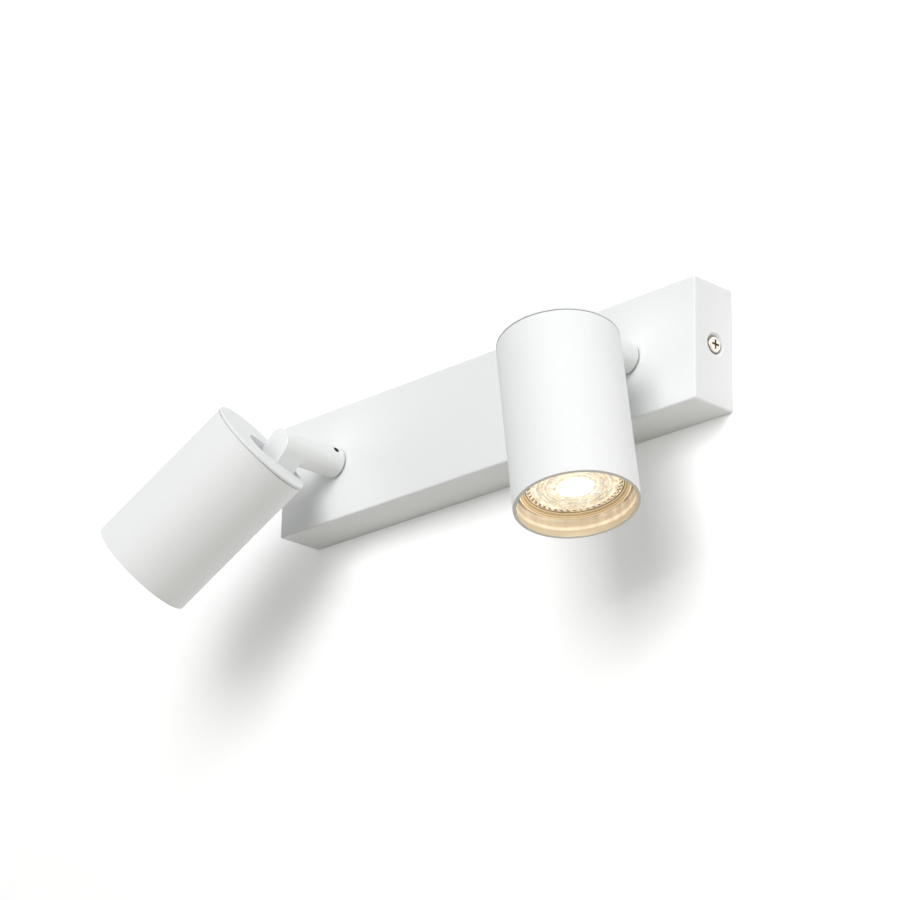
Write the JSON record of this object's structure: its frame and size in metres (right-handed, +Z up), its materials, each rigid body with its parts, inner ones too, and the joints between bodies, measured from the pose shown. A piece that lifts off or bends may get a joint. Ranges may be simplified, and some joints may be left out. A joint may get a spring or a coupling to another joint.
{
  "type": "wall spotlight bar",
  "caption": "White wall-mounted bar with swivelling and tilting cylindrical spot heads on short arms, each holding a twist-lock reflector lamp.",
  "frame": {"origin": "middle of the bar's back, on the wall plane", "axes": "+X along the bar to the right, +Y into the wall, +Z up"},
  "size_m": [0.3326, 0.1189, 0.1264],
  "materials": {
    "white_enamel": "satin white powder coat",
    "galvanised_steel": "galvanised sheet",
    "nickel_screw": "nickel plated",
    "zinc_plated_steel": "zinc plated",
    "blackened_steel": "black oxide",
    "brass": "bare brass",
    "grommet_rubber": "matt black",
    "terminal_polyamide": "natural polyamide",
    "brown_insulation": "brown core insulation",
    "blue_insulation": "blue core insulation",
    "green_insulation": "green and yellow core insulation",
    "silicone_insulation": "white silicone",
    "grey_nylon": "dark grey nylon",
    "white_ceramic": "unglazed steatite",
    "lamp_moulding": "white heat-conducting plastic",
    "lens_polycarbonate": "clear moulded polycarbonate",
    "board_aluminium": "white solder mask on aluminium",
    "chip_phosphor": "yellow phosphor"
  },
  "bodies": {
    "bar": {"bar_cover": "white_enamel", "cover_screws": "nickel_screw", "wall_bracket": "galvanised_steel", "bracket_lugs": "galvanised_steel", "cable_grommet": "grommet_rubber", "terminal_block": "terminal_polyamide", "terminal_clamps": "brass", "terminal_screws": "zinc_plated_steel", "block_screws": "zinc_plated_steel", "live_cores": "brown_insulation", "neutral_cores": "blue_insulation", "earth_cores": "green_insulation", "earth_tag": "zinc_plated_steel", "earth_screw": "zinc_plated_steel", "left_post": "zinc_plated_steel", "left_post_nut": "zinc_plated_steel", "left_post_washer": "zinc_plated_steel", "left_friction_washer": "grey_nylon", "right_post": "zinc_plated_steel", "right_post_nut": "zinc_plated_steel", "right_post_washer": "zinc_plated_steel", "right_friction_washer": "grey_nylon"},
    "left_arm_body": {"left_arm": "white_enamel", "left_grub_screw": "blackened_steel", "left_arm_lead": "silicone_insulation"},
    "left_head": {"left_tube": "white_enamel", "left_end_cap": "white_enamel", "left_pivot_screws": "zinc_plated_steel", "left_tilt_washers": "grey_nylon", "left_holder_plate": "galvanised_steel", "left_holder_screws": "zinc_plated_steel", "left_lamp_holder": "white_ceramic", "left_holder_contacts": "brass", "left_head_cores": "silicone_insulation"},
    "left_lamp": {"left_lamp_shell": "lamp_moulding", "left_lamp_pins": "brass", "left_lamp_board": "board_aluminium", "left_lamp_chip": "chip_phosphor", "left_lamp_lens": "lens_polycarbonate"},
    "right_arm_body": {"right_arm": "white_enamel", "right_grub_screw": "blackened_steel", "right_arm_lead": "silicone_insulation"},
    "right_head": {"right_tube": "white_enamel", "right_end_cap": "white_enamel", "right_pivot_screws": "zinc_plated_steel", "right_tilt_washers": "grey_nylon", "right_holder_plate": "galvanised_steel", "right_holder_screws": "zinc_plated_steel", "right_lamp_holder": "white_ceramic", "right_holder_contacts": "brass", "right_head_cores": "silicone_insulation"},
    "right_lamp": {"right_lamp_shell": "lamp_moulding", "right_lamp_pins": "brass", "right_lamp_board": "board_aluminium", "right_lamp_chip": "chip_phosphor", "right_lamp_lens": "lens_polycarbonate"}
  },
  "joints": [
    {"name": "left_swivel", "type": "hinge", "parent": "bar", "child": "left_arm_body", "pos_m": [-0.1, -0.025, 0], "axis": [0, -1, 0], "range_deg": [-105.6, 204.4]},
    {"name": "left_tilt", "type": "hinge", "parent": "left_arm_body", "child": "left_head", "pos_m": [-0.11169, -0.0574, -0.01002], "axis": [-0.6508, 0, 0.7593], "range_deg": [-14.5, 75.5]},
    {"name": "left_lamp_twist", "type": "hinge", "parent": "left_head", "child": "left_lamp", "pos_m": [-0.1034, -0.07048, -0.00291], "axis": [-0.7351, -0.2504, -0.63], "range_deg": [0, 30]},
    {"name": "right_swivel", "type": "hinge", "parent": "bar", "child": "right_arm_body", "pos_m": [0.1, -0.025, 0], "axis": [0, -1, 0], "range_deg": [-167.7, 142.3]},
    {"name": "right_tilt", "type": "hinge", "parent": "right_arm_body", "child": "right_head", "pos_m": [0.10339, -0.0574, -0.01502], "axis": [-0.9755, 0, -0.2198], "range_deg": [-4.2, 85.8]},
    {"name": "right_lamp_twist", "type": "hinge", "parent": "right_head", "child": "right_lamp", "pos_m": [0.10154, -0.07222, -0.00682], "axis": [0.2193, -0.0732, -0.9729], "range_deg": [0, 30]}
  ]
}
